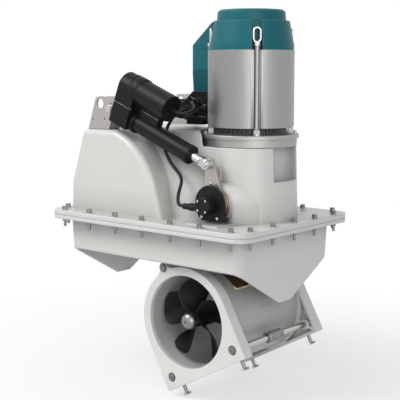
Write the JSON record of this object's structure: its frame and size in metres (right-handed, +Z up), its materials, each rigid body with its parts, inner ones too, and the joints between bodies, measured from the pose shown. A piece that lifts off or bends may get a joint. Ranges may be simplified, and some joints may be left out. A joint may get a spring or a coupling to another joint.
{
  "type": "retractable bow thruster",
  "caption": "Retractable tunnel thruster: flanged housing with a vertical drive motor, an electric cylinder and a short ducted propeller on a swinging leg.",
  "frame": {"origin": "middle of the lower flange's underside, in the plane where the well joins the hull", "axes": "+X along the long side of the flange towards the drive motor, +Z up along the motor shaft, the electric cylinder on the -Y side"},
  "size_m": [0.7, 0.5, 1.0307],
  "materials": {
    "white_hull": "smooth white moulding",
    "tunnel_white": "white enamel",
    "tunnel_grey": "light grey enamel",
    "gasket_rubber": "grey rubber",
    "stainless": "satin stainless steel",
    "bracket_steel": "brushed stainless plate",
    "jacket_steel": "vertically brushed sheet",
    "turned_aluminium": "turned",
    "polished_rod": "polished",
    "dark_iron": "black paint on iron",
    "teal_paint": "semi-gloss teal enamel",
    "black_plastic": "moulded black",
    "black_anodised": "satin black",
    "leg_grey": "dark grey enamel",
    "cable_black": "black rubber sheath",
    "bronze": "turned bronze",
    "blade_black": "black composite",
    "nose_metal": "turned"
  },
  "bodies": {
    "root": {"hull_box": "white_hull", "cover": "white_hull", "flange_gasket": "gasket_rubber", "flange_bolts": "stainless", "flange_nuts": "stainless", "adapter_ring": "turned_aluminium", "motor_flange": "turned_aluminium", "motor_core": "dark_iron", "motor_jacket": "jacket_steel", "motor_cap": "teal_paint", "motor_crown": "teal_paint", "motor_lugs": "stainless", "motor_tie_bolts": "stainless", "lifting_eyes": "stainless", "control_box": "teal_paint", "box_boot": "black_plastic", "pivot_bushes": "bronze", "link_pins": "stainless", "sensor_plate": "black_plastic", "sensor_body": "black_plastic", "sensor_plug": "black_plastic", "sensor_screws": "stainless", "sensor_cable": "cable_black", "power_cable": "cable_black", "actuator_lead": "cable_black", "bracket_front": "bracket_steel", "bracket_rear": "bracket_steel", "actuator_pin": "stainless"},
    "motor_rotating": {"motor_shaft": "polished_rod", "motor_rotor": "dark_iron"},
    "swing_leg": {"leg": "leg_grey", "leg_shield": "leg_grey", "gear_house": "black_anodised", "lever_arm": "bracket_steel", "lever_screws": "stainless"},
    "leg_drive": {"leg_shaft": "polished_rod", "drive_pinion": "dark_iron"},
    "tunnel": {"tunnel_tube": "tunnel_grey", "ring_front": "tunnel_white", "ring_rear": "tunnel_white", "tunnel_tie_rods": "stainless", "tie_rod_heads": "stainless", "rod_sleeve": "stainless", "hatch_studs": "stainless", "guide_vanes": "tunnel_grey", "slot_seal": "gasket_rubber"},
    "screw": {"propeller": "blade_black", "prop_nose": "nose_metal", "prop_shaft": "polished_rod", "bevel_wheel": "dark_iron"},
    "links": {"tilt_links": "stainless"},
    "actuator": {"actuator_gearbox": "black_anodised", "actuator_tube": "black_anodised", "actuator_motor": "black_anodised", "actuator_motor_cap": "black_anodised"},
    "rod": {"actuator_rod": "polished_rod", "rod_end": "polished_rod"}
  },
  "joints": [
    {"name": "motor_spin", "type": "hinge", "parent": "root", "child": "motor_rotating", "pos_m": [0.185, 0, 0.25], "axis": [0, 0, 1], "continuous": true},
    {"name": "leg_swing", "type": "hinge", "parent": "root", "child": "swing_leg", "pos_m": [0.185, 0, 0.075], "axis": [0, 1, 0], "range_deg": [0, 76.3]},
    {"name": "leg_shaft_spin", "type": "hinge", "parent": "swing_leg", "child": "leg_drive", "pos_m": [0.185, 0, 0.075], "axis": [0.2368, 0, 0.9715], "continuous": true},
    {"name": "propeller_spin", "type": "hinge", "parent": "swing_leg", "child": "screw", "pos_m": [0.10684, 0, -0.24561], "axis": [0, 1, 0], "continuous": true},
    {"name": "tunnel_tilt", "type": "hinge", "parent": "swing_leg", "child": "tunnel", "pos_m": [0.10684, 0, -0.24561], "axis": [0, 1, 0], "range_deg": [-47.31, 0], "deforming": ["slot_seal"]},
    {"name": "link_swing", "type": "hinge", "parent": "root", "child": "links", "pos_m": [0.1515, 0, 0.168], "axis": [0, 1, 0], "range_deg": [0, 78.56]},
    {"name": "actuator_tilt", "type": "hinge", "parent": "root", "child": "actuator", "pos_m": [-0.1596, -0.168, 0.3114], "axis": [0, 1, 0], "range_deg": [0, 2.16], "deforming": ["actuator_lead"]},
    {"name": "rod_slide", "type": "slide", "parent": "actuator", "child": "rod", "axis": [0.9279, 0, -0.3729], "range_m": [0, 0.1288]}
  ],
  "couplings": [
    {"joint": "leg_shaft_spin", "follows": "motor_spin", "ratio": 1},
    {"joint": "propeller_spin", "follows": "motor_spin", "ratio": -0.7},
    {"joint": "tunnel_tilt", "follows": "leg_swing", "ratio": -0.61992},
    {"joint": "link_swing", "follows": "leg_swing", "ratio": 1.0295},
    {"joint": "actuator_tilt", "follows": "leg_swing", "ratio": 0.028207},
    {"joint": "rod_slide", "follows": "leg_swing", "m_per_rad": 0.096707}
  ]
}
